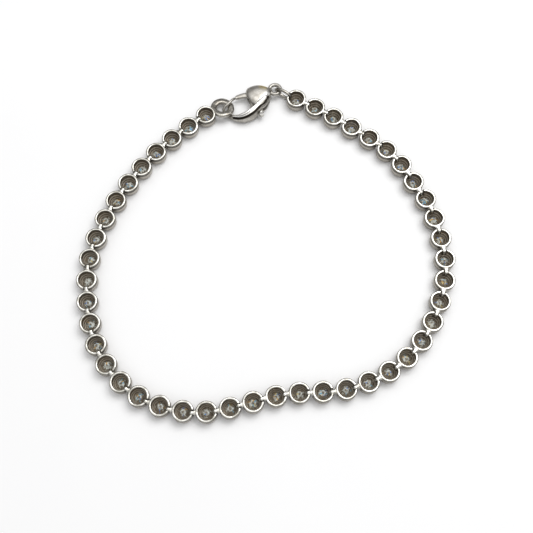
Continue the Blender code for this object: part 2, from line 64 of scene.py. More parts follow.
# Studio, in metres and watts
KEY_PLACE = (0.17, 0.14, 0.42)
KEY_SIZE = 0.32
KEY_POWER = 0.90
TOP_PLACE = (-0.02, 0.20, 0.50)
TOP_SIZE = 0.30
TOP_POWER = 0.30
SKY_STRENGTH = 1.20
SKY_COLOURS = [
    # height above the horizon, colour
    (0.05, (0.05, 0.05, 0.055, 1)),
    (0.50, (0.30, 0.30, 0.305, 1)),
    (0.92, (0.84, 0.84, 0.84, 1)),
]
FLOOR_HALF = 1.5
FLOOR_COLOURS = ((0.95, 0.95, 0.95, 1), (0.97, 0.97, 0.97, 1))

# Cups and the staples between them
CUP_COUNT = 45
CUPS_PER_PIECE = 15
CUP_RADIUS = 1.78
CUP_HEIGHT = 2.05
CUP_STEPS = 64
INNER_RADIUS = 1.36
BAR_TOP = 1.51
BAR_BASE = 1.24
WINDOW_BASE = 0.58
FIRST_WINDOW_BASE = 0.26           # lower, because the jump ring goes through it
WINDOW_WIDTH = 0.88
CUT_OUTSIDE = 0.30                 # the notch and window are cut this far past the outer wall,
CUT_INSIDE = 0.32                  # past the inner wall
CUT_ABOVE = 0.20                   # and past the rim
WIRE_SIDES = 16
STAPLE_SQUARENESS = 0.85
CUP_DENTS = 0.035
CUP_DENT_REACH = 1.1
CUP_NOISE_STEP = 3.7               # from one cup's dents to the next one's in the noise

# Stones
STONE_RADIUS = 0.95
GIRDLE_HEIGHT = 0.37
GIRDLE_THICKNESS = 0.03
TABLE_RADIUS = 0.54
TABLE_HEIGHT = 0.10
STAR_RADIUS = 0.755
STAR_HEIGHT = 0.215
CULET_HEIGHT = 1.17
CULET_RADIUS = 0.07
HALVES_RADIUS = 0.30               # where the pavilion's lower halves end
HALVES_DROP = 0.235                # and how far that is from the culet
STONE_TILT = 1.5                   # degrees, either way

# End ring, in the claw's frame
RING_RADIUS = 2.10
RING_HOLE = 0.95
RING_THICKNESS = 0.74
RING_STRETCH = 1.06                # its width across the claw over its width along it
RING_SQUARENESS = 0.75
RING_SIDES = 24
RING_STEPS = 72
RING_SEAT = (10.271, -0.592, 0.168)
RING_TILT = math.radians(12)
RING_TILT_HEADING = math.radians(-45)
RING_DENTS = 0.09
RING_DENT_REACH = 1.3
RING_NOISE_PLACE = (11, 5, 2)

# Jump ring
JUMP_WIRE = 0.29                   # radius
JUMP_STEPS = 72
END_CORNERS = 6                    # so many corners at each end of its solid give its tilt

# Claw, in its own frame: +X from the eye to the nose, the gate on the -Y side
PIVOT_FORWARD = 3.3966
EYE_RADIUS = 0.99
EYE_WIRE = 0.36
EYE_SIDES = 16
CLAW_SIDES = 40
RIDGE_SIDES = 12                   # of the ridge and the groove
BODY_SQUARENESS = 0.82
VOXEL = 0.05
SOFTENING = 3
LEVER_THICKNESS = 0.66
LEVER_SQUARENESS = 0.65
LEVER_SIDES = 24
SLOT_HALF = 0.45
KNOB_PLACE = (4.386, 3.538)
KNOB_RADIUS = 0.42
KNOB_HALF = 0.64

# Reach of the marks on the claw and lever, among them a painted highlight on the ridge and the
# knob's top and painted shade in the groove and the knob's dished middle: full up to the first
# distance, gone at the second
RIDGE_REACH = (0.36, 0.56)
GROOVE_REACH = (0.19, 0.27)
WORN_REACH = (0.15, 0.75)
KNOB_SHINE_REACH = (0.45, 0.70)
KNOB_SHADE_DOT_REACH = (0.08, 0.16)

# Metals: light and dark colour, least and greatest roughness, strength of the scratches
CUP_METAL = ((0.74, 0.725, 0.675, 1), (0.40, 0.385, 0.34, 1), 0.10, 0.30, 0.25)
RING_METAL = ((0.46, 0.44, 0.395, 1), (0.25, 0.23, 0.20, 1), 0.16, 0.36, 0.50)
CLAW_METAL = ((0.52, 0.50, 0.46, 1), (0.34, 0.32, 0.285, 1), 0.34, 0.48, 0.25)
WIRE_METAL = ((0.46, 0.44, 0.40, 1), (0.30, 0.28, 0.245, 1), 0.10, 0.24, 0.25)
PIN_METAL = ((0.60, 0.59, 0.57, 1), (0.50, 0.48, 0.46, 1), 0.25, 0.40, 0.25)
RELIEF_DEPTH = 0.03                # of the dents and scratches

# Zones of a cup's metal: each begins at the first place and is full at the second
INSIDE_RADIUS = (1.41, 1.33)
INSIDE_HEIGHT = (2.03, 1.90)
OUTLINE_RADIUS = (1.800, 1.785)    # only a staple lies further out
WALL_HEIGHT = (1.82, 1.74)
EDGE_RADIUS = (1.69, 1.76)         # the rim's outer edge, painted in shade
EDGE_HEIGHT = (1.66, 1.78)
RIM_SHADOW_HEIGHT = (1.30, 1.52)         # the painted shadow under the rim

# Bands of painted highlight on the steps inside a cup: begins, full, full, gone
SEAT_BAND = (1.17, 1.20, 1.24, 1.27)
STEP_BAND = (1.00, 1.03, 1.08, 1.11)

# Colours of a cup: painted shade inside in tarnish browns, painted highlights on its steps,
# painted shade on the walls and on the rim's outer edge, and a painted shadow under the rim
INSIDE_SHADE_DARK = (0.06, 0.046, 0.032, 1)
INSIDE_SHADE_LIGHT = (0.25, 0.205, 0.15, 1)
STEP_HIGHLIGHT_COLOUR = (0.70, 0.64, 0.54, 1)
WALL_SHADE_COLOUR = (0.40, 0.37, 0.325, 1)
EDGE_SHADE_COLOUR = (0.10, 0.09, 0.075, 1)
RIM_SHADOW_COLOUR = (0.05, 0.045, 0.04, 1)
STEP_HIGHLIGHT_SHARE = 0.60                  # how far each of these covers what is under it
WALL_SHADE_SHARE = 0.80
EDGE_SHADE_SHARE = 0.85
RIM_SHADOW_SHARE = 0.90
WALL_ROUGHNESS = 0.22              # more than on the rim
INSIDE_METALLIC = 0.70

# Colours of the claw and lever: grain, wear, a painted highlight on the ridge and painted shade
# in the groove
GRAIN_COLOUR = (0.30, 0.28, 0.25, 1)
WORN_COLOUR = (0.62, 0.52, 0.28, 1)
RIDGE_HIGHLIGHT_COLOUR = (0.88, 0.865, 0.83, 1)
GROOVE_SHADE_COLOUR = (0.03, 0.025, 0.02, 1)
RIDGE_GLOSS = -0.22                # roughness of the ridge against the rest

# Painted light in a stone, by the distance from its middle
CULET_DOT = (0.10, 0.16)           # dark up to the first, lit from the second
LIT_RING = (0.18, 0.24, 0.42, 0.50)  # begins, full, full, gone
LIT_RING_SHARE = 0.55
GLINT_FADE = (0.78, 0.50)
UNLIT = 0.3                        # what is left of a glint where it is dimmest

# Painted light in a stone, by the facet's tone and the draw of each cell of the pattern
TONE_STEP = (0.20, 0.45)
GLINT_STEP = (0.58, 0.66)

# Colours of a stone, all painted light: its painted shade, the brown of its painted reflections,
# and its painted glints and fire
STONE_SHADE = (0.045, 0.037, 0.028, 1)
STONE_REFLECTION_BROWN = (0.46, 0.40, 0.31, 1)
FIRE_COLOURS = [
    # from this share of the facets on, colour
    (0.00, (0.95, 1.00, 0.95, 1)),
    (0.78, (0.30, 0.72, 1.00, 1)),
    (0.86, (0.22, 0.42, 1.00, 1)),
    (0.91, (1.00, 0.60, 0.18, 1)),
    (0.96, (1.00, 0.85, 0.35, 1)),
]

# Outline of the cup's metal in one half section, from the inner rim over the outside to the seat
CUP_PROFILE = [
    # radius, height
    (1.325, 1.830), (1.335, 1.925), (1.360, 1.992), (1.400, 2.034), (1.460, 2.050),
    (1.580, 2.050), (1.670, 2.030), (1.738, 1.972), (1.774, 1.890), (1.780, 1.815),
    (1.764, 1.755), (1.725, 1.705), (1.700, 1.640), (1.712, 1.560), (1.738, 1.480),
    (1.750, 1.300), (1.762, 0.900), (1.765, 0.560), (1.738, 0.400),
    (1.685, 0.260), (1.600, 0.140), (1.500, 0.060), (1.380, 0.010), (1.200, 0.000),
    (1.080, 0.010), (1.010, 0.050), (0.945, 0.130), (0.905, 0.220), (0.900, 0.300),
    (0.930, 0.420), (1.000, 0.500), (1.060, 0.530), (1.085, 0.600), (1.092, 0.780),
    (1.120, 0.830), (1.165, 0.850), (1.182, 0.900), (1.190, 1.080), (1.215, 1.120),
    (1.255, 1.135), (1.272, 1.180), (1.290, 1.400), (1.318, 1.440), (1.345, 1.460),
]

# The staple from its own cup's rim over the next cup's bar, down inside and back below it
STAPLE_PATH = [
    # along, height, half_width, half_depth
    (1.50, 1.840, 0.62, 0.150),
    (1.66, 1.850, 0.60, 0.165),
    (1.80, 1.850, 0.50, 0.170),
    (1.92, 1.850, 0.40, 0.175),
    (2.04, 1.845, 0.33, 0.180),
    (2.16, 1.840, 0.31, 0.185),
    (2.29, 1.840, 0.34, 0.200),
    (2.41, 1.830, 0.37, 0.215),
    (2.52, 1.780, 0.35, 0.215),
    (2.60, 1.680, 0.27, 0.190),
    (2.64, 1.450, 0.21, 0.175),
    (2.64, 1.200, 0.20, 0.170),
    (2.60, 1.010, 0.20, 0.170),
    (2.48, 0.920, 0.20, 0.170),
    (2.20, 0.905, 0.20, 0.170),
    (1.60, 0.905, 0.20, 0.170),
]

# Bulge of the claw from the tail to its inner face
BODY_SECTIONS = [
    # forward, side, half_width, half_depth
    (0.62, -0.10, 0.36, 0.40),
    (0.90, -0.12, 0.52, 0.58),
    (1.38, -0.17, 0.93, 0.88),
    (2.09, -0.14, 1.62, 1.10),
    (3.01, -0.06, 2.13, 1.20),
    (3.93, -0.12, 2.20, 1.18),
    (4.62, -0.18, 2.04, 1.12),
    (5.08, -0.14, 1.62, 1.00),
    (5.30, -0.05, 1.10, 0.82),
]

# Spine, nose and tip of the hook
HOOK_SECTIONS = [
    # forward, side, rise, half_width, half_depth, squareness
    (1.48, 0.41, 0.00, 0.49, 0.86, 0.60),
    (2.45, 1.28, 0.00, 0.73, 1.06, 0.50),
    (3.57, 2.03, 0.00, 0.78, 1.13, 0.45),
    (4.49, 2.28, 0.00, 0.66, 1.13, 0.45),
    (5.92, 2.78, -0.05, 0.78, 1.08, 0.45),
    (7.19, 2.78, -0.17, 0.75, 0.93, 0.48),
    (8.16, 2.44, -0.38, 0.64, 0.76, 0.55),
    (8.93, 1.86, -0.60, 0.50, 0.56, 0.65),
    (9.59, 1.10, -0.71, 0.37, 0.40, 0.80),
    (10.10, 0.49, -0.48, 0.29, 0.31, 1.00),
    (10.30, -0.03, 0.05, 0.25, 0.26, 1.00),
    (9.91, -0.35, 0.53, 0.24, 0.25, 1.00),
    (8.98, -0.64, 0.73, 0.24, 0.24, 1.00),
    (8.01, -1.10, 0.60, 0.24, 0.24, 1.00),
    (7.44, -1.35, 0.28, 0.22, 0.22, 1.00),
]

# Polished ridge on the spine's upper side
RIDGE_PATH = [
    # forward, side, rise, radius
    (1.80, 0.60, 0.70, 0.18),
    (2.89, 1.20, 0.86, 0.30),
    (4.10, 1.76, 0.86, 0.36),
    (5.26, 2.22, 0.85, 0.36),
    (6.65, 2.55, 0.79, 0.33),
    (7.80, 2.46, 0.55, 0.28),
    (8.60, 2.05, 0.20, 0.21),
    (9.20, 1.46, -0.12, 0.15),
]

# Groove below the ridge, along the top of the spine's outer wall
GROOVE_PATH = [
    # forward, side, rise, radius
    (2.00, 1.30, 0.92, 0.13),
    (3.15, 2.24, 1.00, 0.17),
    (4.30, 2.56, 1.00, 0.18),
    (5.70, 3.16, 0.95, 0.19),
    (7.30, 3.24, 0.68, 0.18),
    (8.50, 2.76, 0.26, 0.15),
    (9.25, 2.00, -0.16, 0.12),
]

# Places on the claw where the plating is worn, in its own frame
WORN_PLACES = [(1.75, -0.75, 0.85), (2.20, -1.05, 0.85)]

# Gate, hub and trigger of the lever
LEVER_PATH = [
    # forward, side, half_width
    (7.27, -1.46, 0.24),
    (7.08, -1.47, 0.34),
    (6.60, -1.45, 0.42),
    (5.51, -1.25, 0.52),
    (4.40, -0.66, 0.56),
    (3.40, 0.00, 0.57),
    (3.55, 0.90, 0.47),
    (3.83, 1.80, 0.40),
    (4.12, 2.70, 0.36),
    (*KNOB_PLACE, 0.34),
]

# Knob on the lever's trigger, with a dished end
KNOB_SECTIONS = [
    # share of KNOB_HALF, share of KNOB_RADIUS
    (-1.00, 0.55), (-0.92, 0.80), (-0.70, 0.97), (-0.30, 1.00), (0.30, 1.00),
    (0.70, 0.97), (0.92, 0.80), (1.00, 0.55), (0.93, 0.35), (0.86, 0.12),
]

# Outline of the slot that the lever swings in
SLOT_OUTLINE = [
    # forward, side
    (5.2, -2.7), (4.2, -1.5), (2.7, -0.6), (2.5, 0.6), (1.7, 2.6), (2.6, 4.4),
    (5.0, 4.4), (4.6, 2.0), (4.6, 0.9), (6.0, 0.6), (7.3, -0.9), (7.2, -2.2),
]


def add_object(name, data):
    item = bpy.data.objects.new(name, data)
    bpy.context.scene.collection.objects.link(item)
    return item


def remove_objects(items):
    for item in items:
        bpy.data.objects.remove(item, do_unlink=True)


def mesh_from_bmesh(name, shape):
    bmesh.ops.recalc_face_normals(shape, faces=shape.faces)
    mesh = bpy.data.meshes.new(name)
    shape.to_mesh(mesh)
    shape.free()
    return mesh


def evaluated_mesh(item, name):
    """The object's mesh with its modifiers applied; the object is removed."""
    bpy.context.view_layer.update()
    ready = item.evaluated_get(bpy.context.evaluated_depsgraph_get())
    mesh = bpy.data.meshes.new_from_object(ready)
    mesh.name = name
    remove_objects([item])
    return mesh


def add_boolean(item, tool, operation):
    modifier = item.modifiers.new(tool.name, 'BOOLEAN')
    modifier.operation = operation
    modifier.solver = 'EXACT'
    modifier.object = tool


def curve_rows(rows, steps):
    """Rows of numbers along a smooth curve through these rows."""
    smooth = []
    for index in range(len(rows) - 1):
        before = rows[max(index - 1, 0)]
        start, end = rows[index], rows[index + 1]
        after = rows[min(index + 2, len(rows) - 1)]
        for step in range(steps):
            t = step / steps
            smooth.append(tuple(
                0.5 * (2 * b + (c - a) * t + (2 * a - 5 * b + 4 * c - d) * t * t
                       + (3 * b - a - 3 * c + d) * t ** 3)
                for a, b, c, d in zip(before, start, end, after)))
    smooth.append(tuple(rows[-1]))
    return smooth


def oval_pairs(half_width, half_depth, sides, squareness=1.0):
    """Corners of a flat oval as pairs; below 1, squareness fills its corners out."""
    pairs = []
    for side in range(sides):
        angle = 2 * math.pi * side / sides
        x, y = math.cos(angle), math.sin(angle)
        pairs.append((half_width * math.copysign(abs(x) ** squareness, x),
                      half_depth * math.copysign(abs(y) ** squareness, y)))
    return pairs


def oval(middle, across, up, half_width, half_depth, sides, squareness=1.0):
    """Corners of an oval ring round a middle."""
    return [middle + across * x + up * y
            for x, y in oval_pairs(half_width, half_depth, sides, squareness)]


def ring_profile(radius, half_width, half_height, sides, squareness=1.0):
    """Half section of a ring whose bar is an oval."""
    return [(radius + x, y) for x, y in oval_pairs(half_width, half_height, sides, squareness)]


def loft(name, rings, closed=False):
    """A mesh through rings of the same number of corners, capped unless it is closed."""
    shape = bmesh.new()
    rows = [[shape.verts.new(corner) for corner in ring] for ring in rings]
    count = len(rows[0])
    pairs = list(zip(rows, rows[1:]))
    if closed:
        pairs.append((rows[-1], rows[0]))
    for lower, upper in pairs:
        for side in range(count):
            after = (side + 1) % count
            shape.faces.new((lower[side], lower[after], upper[after], upper[side]))
    if not closed:
        shape.faces.new(rows[0])
        shape.faces.new(rows[-1])
    return mesh_from_bmesh(name, shape)


def turned(name, profile, steps):
    """A closed ring turned from a half section."""
    rings = []
    for step in range(steps):
        angle = 2 * math.pi * (step + 0.5) / steps
        rings.append([Vector((radius * math.cos(angle), radius * math.sin(angle), height))
                      for radius, height in profile])
    return loft(name, rings, closed=True)


def swept(name, rows, sides):
    """A loft along (forward, side, rise, half_width, half_depth, squareness) rows."""
    middles = [Vector(row[:3]) for row in rows]
    rings = []
    for index, row in enumerate(rows):
        run = middles[min(index + 1, len(rows) - 1)] - middles[max(index - 1, 0)]
        across = Vector((-run.y, run.x, 0)).normalized()
        up = run.cross(across).normalized()
        rings.append(oval(middles[index], across, up, row[3], row[4], sides, row[5]))
    return loft(name, rings)


def round_rows(path):
    """Rows for swept from a path of (forward, side, rise, radius)."""
    return [(f, s, z, r, r, 1.0) for f, s, z, r in curve_rows(path, steps=6)]


def path_points(path):
    return [Vector(row[:3]) for row in curve_rows(path, steps=12)]


def box(name, low, high):
    shape = bmesh.new()
    bmesh.ops.create_cube(shape, size=1.0)
    size = Vector(high) - Vector(low)
    middle = (Vector(high) + Vector(low)) / 2
    bmesh.ops.scale(shape, vec=size, verts=shape.verts)
    bmesh.ops.translate(shape, vec=middle, verts=shape.verts)
    return add_object(name, mesh_from_bmesh(name, shape))


def shade(mesh, angle=40):
    mesh.shade_smooth()
    mesh.set_sharp_from_angle(angle=math.radians(angle))


def wobble(mesh, size, reach, offset):
    """Moves the corners by smooth noise, so that a hand-made piece isn't perfect."""
    for vertex in mesh.vertices:
        vertex.co += noise.noise_vector(vertex.co / reach + offset) * size


def add_nearness(mesh, name, points, reach):
    """1 for corners within the reach's first distance of the points, 0 from its second on."""
    near, far = reach
    tree = KDTree(len(points))
    for index, point in enumerate(points):
        tree.insert(point, index)
    tree.balance()
    values = []
    for vertex in mesh.vertices:
        distance = tree.find(vertex.co)[2]
        values.append(min(max((far - distance) / (far - near), 0.0), 1.0))
    layer = mesh.attributes.new(name, 'FLOAT', 'POINT')
    layer.data.foreach_set("value", values)


def join(items, name):
    with bpy.context.temp_override(active_object=items[0], selected_editable_objects=items):
        bpy.ops.object.join()
    items[0].name = name
    items[0].data.name = name
    return items[0]


def place_mesh(mesh, matrix):
    """From millimetres in a frame of its own to metres in the row's frame."""
    mesh.transform(Matrix.Scale(MM, 4) @ matrix)


def finish_piece(piece, metal, body, nodes):
    """Gives the piece its one material, its body and the nodes that it replaces."""
    piece.data.materials.clear()
    piece.data.materials.append(metal)
    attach(piece, body)
    if nodes:
        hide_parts(*nodes)


def corners_of(node):
    """The node's corners in millimetres, each once."""
    return [Vector(key) for key in {tuple(round(c / MM, 4) for c in vertex.co)
                                    for vertex in frame["nodes"][node].data.vertices}]


def cup_middles():
    """The middle of each cup's front edge ring, on the surface."""
    middles = []
    for number in range(1, CUP_COUNT + 1):
        base = [corner for corner in corners_of("link_%02d" % number) if abs(corner.z) < 0.01]
        middle = sum(base, Vector()) / len(base)
        middles.append(Vector((middle.x, middle.y, 0)))
    return middles


def cup_matrices(middles, ring_middle):
    """Each cup's place, turned along the chain from the jump ring to the end ring."""
    jump_low, jump_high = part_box("jump_ring")
    jump_middle = (jump_low + jump_high) / 2 / MM
    stops = [jump_middle] + middles + [ring_middle]
    matrices = []
    for row, middle in enumerate(middles):
        into = (middle - stops[row]).to_2d().normalized()
        out = (stops[row + 2] - middle).to_2d().normalized()
        direction = into + out
        turn = Matrix.Rotation(math.atan2(direction.y, direction.x), 4, 'Z')
        matrices.append(Matrix.Translation(middle) @ turn)
    return matrices


def claw_matrix():
    """The claw's frame in millimetres, from the lever's hinge."""
    joint = frame["joints"][0]
    up = Vector(joint["axis"]).normalized()
    forward = Vector((0, 0, 1)).cross(up).normalized()
    side = up.cross(forward)
    matrix = Matrix((forward, side, up)).transposed().to_4x4()
    matrix.translation = Vector(joint["pos_m"]) / MM - forward * PIVOT_FORWARD
    return matrix


def staple_mesh():
    rings = []
    path = curve_rows(STAPLE_PATH, steps=2)
    for row, (along, height, half_width, half_depth) in enumerate(path):
        before = path[max(row - 1, 0)]
        after = path[min(row + 1, len(path) - 1)]
        normal = Vector((before[1] - after[1], 0, after[0] - before[0])).normalized()
        rings.append(oval(Vector((along, 0, height)), normal, Vector((0, 1, 0)), half_depth,
                          half_width, WIRE_SIDES, STAPLE_SQUARENESS))
    return loft("staple", rings)


def cup_mesh(name, window_base, with_staple):
    """One cup's metal with its notch and window, and its staple where it has one."""
    cup = add_object(name, turned(name, CUP_PROFILE, CUP_STEPS))
    near = -CUP_RADIUS - CUT_OUTSIDE
    far = -INNER_RADIUS + CUT_INSIDE
    half = WINDOW_WIDTH / 2
    tools = [box("notch", (near, -half, BAR_TOP), (far, half, CUP_HEIGHT + CUT_ABOVE)),
             box("window", (near, -half, window_base), (far, half, BAR_BASE))]
    for tool in tools:
        add_boolean(cup, tool, 'DIFFERENCE')
    if with_staple:
        tools.append(add_object("staple", staple_mesh()))
        add_boolean(cup, tools[-1], 'UNION')
    mesh = evaluated_mesh(cup, name)
    remove_objects(tools)
    return mesh


def stone_mesh():
    """A round brilliant with its table down, a thin girdle and a small culet."""
    shape = bmesh.new()
    girdle_top = GIRDLE_HEIGHT + GIRDLE_THICKNESS / 2
    girdle_base = GIRDLE_HEIGHT - GIRDLE_THICKNESS / 2

    def ring(count, radius, height, turn=0.0):
        return [shape.verts.new((radius * math.cos(2 * math.pi * (k + turn) / count),
                                 radius * math.sin(2 * math.pi * (k + turn) / count), height))
                for k in range(count)]

    table = ring(8, TABLE_RADIUS, TABLE_HEIGHT, 0.5)
    stars = ring(8, STAR_RADIUS, STAR_HEIGHT)
    lower = ring(16, STONE_RADIUS, girdle_base)
    upper = ring(16, STONE_RADIUS, girdle_top)
    halves = ring(8, HALVES_RADIUS, CULET_HEIGHT - HALVES_DROP, 0.5)
    culet = ring(8, CULET_RADIUS, CULET_HEIGHT)
    shape.faces.new(table)
    shape.faces.new(culet)
    for k in range(8):
        after = (k + 1) % 8
        shape.faces.new((table[k - 1], table[k], stars[k]))
        shape.faces.new((table[k], stars[k], lower[2 * k + 1], stars[after]))
        shape.faces.new((stars[k], lower[2 * k], lower[2 * k + 1]))
        shape.faces.new((stars[k], lower[2 * k], lower[2 * k - 1]))
        shape.faces.new((culet[k], halves[k - 1], upper[2 * k], halves[k]))
        shape.faces.new((culet[k], culet[after], halves[k]))
        shape.faces.new((halves[k], upper[2 * k], upper[2 * k + 1]))
        shape.faces.new((halves[k], upper[2 * k + 1], upper[(2 * k + 2) % 16]))
    for k in range(16):
        after = (k + 1) % 16
        shape.faces.new((lower[k], lower[after], upper[after], upper[k]))
    return mesh_from_bmesh("stone", shape)


def add_local_places(mesh):
    """Keeps each corner's place in its own cup, for the materials."""
    places = mesh.attributes.new("cup_place", 'FLOAT_VECTOR', 'POINT')
    places.data.foreach_set("vector", [c for vertex in mesh.vertices for c in vertex.co])


def add_facet_draws(mesh, draw):
    """A random tone and fire for each facet, which set its painted glint and the colour of that
    glint.
    """
    for name in ("tone", "fire"):
        layer = mesh.attributes.new(name, 'FLOAT', 'FACE')
        layer.data.foreach_set("value", [draw.random() for _ in mesh.polygons])


def add_cup(base, matrix, row):
    mesh = base.copy()
    add_local_places(mesh)
    wobble(mesh, CUP_DENTS, CUP_DENT_REACH, Vector((row * CUP_NOISE_STEP, 0, 0)))
    for vertex in mesh.vertices:
        vertex.co.z = max(vertex.co.z, 0.0)
    place_mesh(mesh, matrix)
    shade(mesh)
    return add_object("cup_%02d" % (row + 1), mesh)


def make_cups(matrices, metal):
    first = cup_mesh("first_cup", FIRST_WINDOW_BASE, True)
    middle = cup_mesh("cup", WINDOW_BASE, True)
    last = cup_mesh("last_cup", WINDOW_BASE, False)
    bases = [first] + [middle] * (CUP_COUNT - 2) + [last]
    cups = [add_cup(base, matrices[row], row) for row, base in enumerate(bases)]
    nodes = ["link_%02d" % number for number in range(1, CUP_COUNT + 1)]
    for start in range(0, CUP_COUNT, CUPS_PER_PIECE):
        end = start + CUPS_PER_PIECE
        piece = join(cups[start:end], "cups_%02d_to_%02d" % (start + 1, end))
        finish_piece(piece, metal, "bracelet", nodes[start:end])


def make_stones(matrices, material):
    draw = random.Random(SEED)
    brilliant = stone_mesh()
    stones = []
    for row, matrix in enumerate(matrices):
        mesh = brilliant.copy()
        mesh.transform(Matrix.Rotation(draw.uniform(0, math.pi / 4), 4, 'Z'))
        add_local_places(mesh)
        add_facet_draws(mesh, draw)
        tilt = math.radians(draw.uniform(-STONE_TILT, STONE_TILT))
        place_mesh(mesh, matrix @ Matrix.Rotation(tilt, 4, 'X'))
        stones.append(add_object("stone_%02d" % (row + 1), mesh))
    finish_piece(join(stones, "stones"), material, "bracelet", [])


def make_end_ring(claw, metal):
    """The thick flattened ring, tipped in the claw's nose and soldered to the last cup."""
    profile = ring_profile((RING_RADIUS + RING_HOLE) / 2, (RING_RADIUS - RING_HOLE) / 2,
                           RING_THICKNESS / 2, RING_SIDES, RING_SQUARENESS)
    mesh = turned("end_ring", profile, RING_STEPS)
    mesh.transform(Matrix.Scale(RING_STRETCH, 4, (0, 1, 0)))
    wobble(mesh, RING_DENTS, RING_DENT_REACH, Vector(RING_NOISE_PLACE))
    axis = Vector((math.cos(RING_TILT_HEADING), math.sin(RING_TILT_HEADING), 0))
    seat = Matrix.Translation(RING_SEAT) @ Matrix.Rotation(RING_TILT, 4, axis)
    place_mesh(mesh, claw @ seat)
    shade(mesh, angle=60)
    finish_piece(add_object("end_ring", mesh), metal, "bracelet", [])


def cast_mesh():
    """The claw's bulge, hook, ridge and eye in one softened cast, with its groove."""
    rings = []
    for forward, side, half_width, half_depth in curve_rows(BODY_SECTIONS, steps=5):
        rings.append(oval(Vector((forward, side, 0)), Vector((0, 1, 0)), Vector((0, 0, 1)),
                          half_width, half_depth, CLAW_SIDES, BODY_SQUARENESS))
    body = add_object("claw", loft("claw", rings))
    eye = ring_profile(EYE_RADIUS, EYE_WIRE, EYE_WIRE, EYE_SIDES)
    joined = [add_object("hook", swept("hook", curve_rows(HOOK_SECTIONS, steps=6), CLAW_SIDES)),
              add_object("ridge", swept("ridge", round_rows(RIDGE_PATH), RIDGE_SIDES)),
              add_object("eye", turned("eye", eye, CLAW_SIDES))]
    groove = add_object("groove", swept("groove", round_rows(GROOVE_PATH), RIDGE_SIDES))
    for tool in joined:
        add_boolean(body, tool, 'UNION')
    add_boolean(body, groove, 'DIFFERENCE')
    remesh = body.modifiers.new("cast", 'REMESH')
    remesh.mode = 'VOXEL'
    remesh.voxel_size = VOXEL
    soften = body.modifiers.new("soften", 'SMOOTH')
    soften.iterations = SOFTENING
    mesh = evaluated_mesh(body, "claw")
    remove_objects(joined + [groove])
    return mesh


def slot_mesh():
    """The plate that the lever swings in."""
    return loft("slot", [[(x, y, z) for x, y in SLOT_OUTLINE] for z in (-SLOT_HALF, SLOT_HALF)])


def make_claw(claw, metal):
    """The cast, slotted for the lever, with its marks for the material."""
    cast = add_object("claw_cast", cast_mesh())
    slot = add_object("slot", slot_mesh())
    add_boolean(cast, slot, 'DIFFERENCE')
    mesh = evaluated_mesh(cast, "claw")
    remove_objects([slot])
    add_nearness(mesh, "ridge", path_points(RIDGE_PATH), RIDGE_REACH)
    add_nearness(mesh, "groove", path_points(GROOVE_PATH), GROOVE_REACH)
    add_nearness(mesh, "worn", [Vector(place) for place in WORN_PLACES], WORN_REACH)
    place_mesh(mesh, claw)
    shade(mesh, angle=35)
    finish_piece(add_object("claw", mesh), metal, "bracelet", ["clasp_body"])


def knob_mesh():
    rings = []
    for height, width in KNOB_SECTIONS:
        rings.append(oval(Vector((*KNOB_PLACE, KNOB_HALF * height)), Vector((1, 0, 0)),
                          Vector((0, 1, 0)), KNOB_RADIUS * width, KNOB_RADIUS * width,
                          LEVER_SIDES))
    return loft("knob", rings)


def make_lever(claw, metal):
    """Gate and trigger in one sweep, with a polished knob: a painted highlight on its top and a
    painted shade dot in its dish.
    """
    rows = [(f, s, 0.0, w, LEVER_THICKNESS / 2, LEVER_SQUARENESS)
            for f, s, w in curve_rows(LEVER_PATH, steps=5)]
    lever = add_object("lever", swept("lever", rows, LEVER_SIDES))
    knob = add_object("knob", knob_mesh())
    add_boolean(lever, knob, 'UNION')
    mesh = evaluated_mesh(lever, "lever")
    remove_objects([knob])
    # The knob's top takes the painted highlight through the ridge mark, and its dished middle
    # takes the painted shade dot through the groove mark.
    knob_top = [Vector((*KNOB_PLACE, KNOB_HALF))]
    add_nearness(mesh, "ridge", knob_top, KNOB_SHINE_REACH)
    add_nearness(mesh, "groove", knob_top, KNOB_SHADE_DOT_REACH)
    place_mesh(mesh, claw)
    shade(mesh, angle=50)
    finish_piece(add_object("lever", mesh), metal, "lever", ["clasp_lever"])


def make_jump_ring(metal):
    """A round wire bent to an oval through the claw's eye and the first cup's bar."""
    corners = corners_of("jump_ring")
    middle = sum(corners, Vector()) / len(corners)
    along = max(corners, key=lambda corner: (corner - middle).length) - middle
    flat = Vector((along.x, along.y, 0)).normalized()
    across = Vector((-flat.y, flat.x, 0))
    reach = sorted(corners, key=lambda corner: (corner - middle).dot(flat))
    near_end = sum(reach[:END_CORNERS], Vector())
    far_end = sum(reach[-END_CORNERS:], Vector())
    forward = (far_end - near_end).normalized()
    up = forward.cross(across)
    half_length = max((corner - middle).dot(forward) for corner in corners) - JUMP_WIRE
    half_height = max((corner - middle).dot(up) for corner in corners) - JUMP_WIRE
    rings = []
    for step in range(JUMP_STEPS):
        angle = 2 * math.pi * step / JUMP_STEPS
        place = (middle + forward * (half_length * math.cos(angle))
                 + up * (half_height * math.sin(angle)))
        out = (forward * (half_height * math.cos(angle))
               + up * (half_length * math.sin(angle))).normalized()
        rings.append(oval(place, out, across, JUMP_WIRE, JUMP_WIRE, WIRE_SIDES))
    mesh = loft("jump_ring_wire", rings, closed=True)
    place_mesh(mesh, Matrix())
    shade(mesh, angle=60)
    finish_piece(add_object("jump_ring_wire", mesh), metal, "bracelet",
                 ["jump_ring"])


def dress_rivet(metal):
    """The solid pin is kept and only gets a material."""
    rivet = frame["nodes"]["clasp_rivet"]
    rivet.data.materials.clear()
    rivet.data.materials.append(metal)


def set_ramp(ramp, stops):
    """Gives a colour ramp these (position, colour) stops."""
    while len(ramp.elements) < len(stops):
        ramp.elements.new(0.5)
    for element, (position, colour) in zip(ramp.elements, stops):
        element.position = position
        element.color = colour


